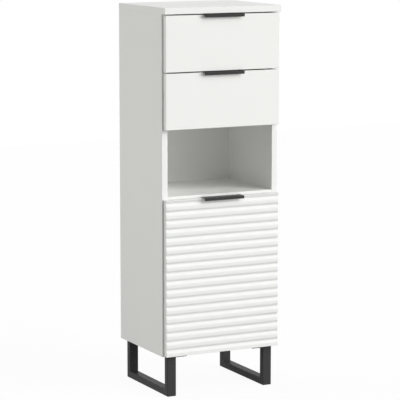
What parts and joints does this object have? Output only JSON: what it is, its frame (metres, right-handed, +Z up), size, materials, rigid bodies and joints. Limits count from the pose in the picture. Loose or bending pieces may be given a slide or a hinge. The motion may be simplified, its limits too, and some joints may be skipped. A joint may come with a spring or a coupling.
{
  "type": "bathroom tall cabinet",
  "caption": "Tall narrow bathroom cabinet with drawers above an open compartment, a wave-milled door, edge-pull handles and black sled leg frames.",
  "frame": {"origin": "on the floor, under the middle of the overall width and depth", "axes": "+Z up, the fronts face -Y, +X towards the hinge side of the door"},
  "size_m": [0.4, 0.3424, 1.2075],
  "materials": {
    "white_lacquer": "white matt coated board",
    "front_lacquer": "white satin lacquered board",
    "white_board": "white matt hardboard",
    "black_steel": "fine matt black powder coat",
    "runner_steel": "white epoxy coat",
    "roller_plastic": "satin moulded",
    "zinc": "die-cast, grey",
    "bright_steel": "zinc plated",
    "hinge_steel": "nickel plated",
    "beech": "bare wood",
    "glide_plastic": "matt moulded",
    "bumper_rubber": "clear soft disc"
  },
  "bodies": {
    "cabinet": {"top_plate": "white_lacquer", "side_panel_left": "white_lacquer", "side_panel_right": "white_lacquer", "floor_panel": "white_lacquer", "divider_panel": "white_lacquer", "niche_shelf": "white_lacquer", "back_panel": "white_board", "inner_shelf": "white_lacquer", "shelf_pins": "bright_steel", "cam_locks": "zinc", "cam_bolts": "bright_steel", "wood_dowels": "beech", "leg_frame_left": "black_steel", "leg_frame_right": "black_steel", "leg_screws": "bright_steel", "floor_glides": "glide_plastic", "upper_rail_left": "runner_steel", "upper_rail_right": "runner_steel", "lower_rail_left": "runner_steel", "lower_rail_right": "runner_steel", "rail_screws": "bright_steel", "hinge_arm_upper": "hinge_steel", "hinge_arm_lower": "hinge_steel", "hinge_plates": "hinge_steel", "hinge_arm_pins": "bright_steel", "hinge_plate_screws": "bright_steel"},
    "upper_front_rollers": {"upper_front_rollers": "roller_plastic"},
    "lower_front_rollers": {"lower_front_rollers": "roller_plastic"},
    "upper_rear_rollers": {"upper_rear_rollers": "roller_plastic"},
    "lower_rear_rollers": {"lower_rear_rollers": "roller_plastic"},
    "hinge_inner_links": {"hinge_inner_links": "hinge_steel"},
    "hinge_outer_links": {"hinge_outer_links": "hinge_steel"},
    "door": {"door_panel": "front_lacquer", "door_handle": "black_steel", "door_screws": "bright_steel", "door_bumpers": "bumper_rubber", "hinge_cup_upper": "hinge_steel", "hinge_cup_lower": "hinge_steel"},
    "upper_drawer": {"upper_drawer_front": "front_lacquer", "upper_drawer_side_left": "white_lacquer", "upper_drawer_side_right": "white_lacquer", "upper_drawer_back": "white_lacquer", "upper_drawer_bottom": "white_board", "upper_drawer_rails": "runner_steel", "upper_drawer_cams": "zinc", "upper_drawer_screws": "bright_steel", "upper_handle": "black_steel"},
    "lower_drawer": {"lower_drawer_front": "front_lacquer", "lower_drawer_side_left": "white_lacquer", "lower_drawer_side_right": "white_lacquer", "lower_drawer_back": "white_lacquer", "lower_drawer_bottom": "white_board", "lower_drawer_rails": "runner_steel", "lower_drawer_cams": "zinc", "lower_drawer_screws": "bright_steel", "lower_handle": "black_steel"}
  },
  "joints": [
    {"name": "upper_drawer_slide", "type": "slide", "parent": "cabinet", "child": "upper_drawer", "axis": [0, -1, 0], "range_m": [0, 0.22]},
    {"name": "upper_front_roller_spin", "type": "hinge", "parent": "cabinet", "child": "upper_front_rollers", "pos_m": [0, -0.1258, 1.0422], "axis": [1, 0, 0], "range_deg": [-1, 1900]},
    {"name": "upper_rear_roller_spin", "type": "hinge", "parent": "upper_drawer", "child": "upper_rear_rollers", "pos_m": [0, 0.1162, 1.0422], "axis": [1, 0, 0], "range_deg": [-1, 1900]},
    {"name": "lower_drawer_slide", "type": "slide", "parent": "cabinet", "child": "lower_drawer", "axis": [0, -1, 0], "range_m": [0, 0.22]},
    {"name": "lower_front_roller_spin", "type": "hinge", "parent": "cabinet", "child": "lower_front_rollers", "pos_m": [0, -0.1258, 0.8667], "axis": [1, 0, 0], "range_deg": [-1, 1900]},
    {"name": "lower_rear_roller_spin", "type": "hinge", "parent": "lower_drawer", "child": "lower_rear_rollers", "pos_m": [0, 0.1162, 0.8667], "axis": [1, 0, 0], "range_deg": [-1, 1900]},
    {"name": "inner_link_swing", "type": "hinge", "parent": "cabinet", "child": "hinge_inner_links", "pos_m": [0.1615, -0.1493, 0.3765], "axis": [0, 0, 1], "range_deg": [-11.6, 0.2]},
    {"name": "door_swing", "type": "hinge", "parent": "hinge_inner_links", "child": "door", "pos_m": [0.1865, -0.1493, 0.3765], "axis": [0, 0, 1], "range_deg": [0, 106.4]},
    {"name": "outer_link_swing", "type": "hinge", "parent": "cabinet", "child": "hinge_outer_links", "pos_m": [0.1625, -0.1343, 0.3765], "axis": [0, 0, 1], "range_deg": [-27.8, 0.2]}
  ],
  "couplings": [
    {"joint": "upper_front_roller_spin", "follows": "upper_drawer_slide", "rad_per_m": 149.25},
    {"joint": "upper_rear_roller_spin", "follows": "upper_drawer_slide", "rad_per_m": 149.25},
    {"joint": "lower_front_roller_spin", "follows": "lower_drawer_slide", "rad_per_m": 149.25},
    {"joint": "lower_rear_roller_spin", "follows": "lower_drawer_slide", "rad_per_m": 149.25},
    {"joint": "inner_link_swing", "follows": "door_swing", "ratio": -0.10714},
    {"joint": "outer_link_swing", "follows": "door_swing", "ratio": -0.25893}
  ]
}
